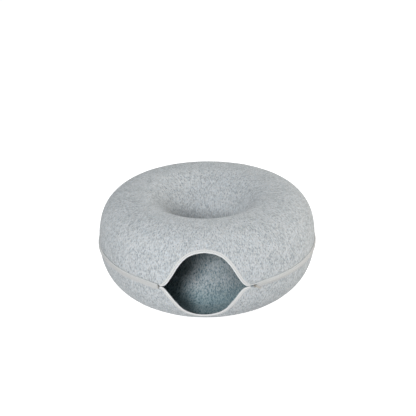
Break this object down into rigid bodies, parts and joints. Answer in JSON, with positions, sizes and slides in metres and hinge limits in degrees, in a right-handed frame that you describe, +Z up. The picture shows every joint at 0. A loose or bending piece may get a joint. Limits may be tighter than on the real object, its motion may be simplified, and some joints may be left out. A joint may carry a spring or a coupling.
{
  "type": "felt cat cave",
  "caption": "Hollow ring of moulded felt for a cat, zipped round its rim, with a bound eye-shaped mouth in the wall and a well through the middle.",
  "frame": {"origin": "on the floor, under the middle of the bounding box; the ring's own axis is 6 mm in front of it", "axes": "+Z up along the well, +X to the right of the mouth, mouth facing -Y"},
  "size_m": [0.5, 0.488, 0.2214],
  "materials": {
    "felt": "moulded polyester felt, matt, mottled light grey",
    "binding": "folded cloth tape, matt off-white",
    "zip_tape": "woven tape, matt warm grey",
    "slider_metal": "cast metal, satin",
    "puller": "enamelled tab, satin"
  },
  "bodies": {
    "root": {"upper_shell": "felt", "lower_shell": "felt", "mouth_binding_upper": "binding", "mouth_binding_lower": "binding", "zip_tape": "zip_tape", "zip_slider": "slider_metal", "zip_puller": "puller"}
  },
  "joints": []
}
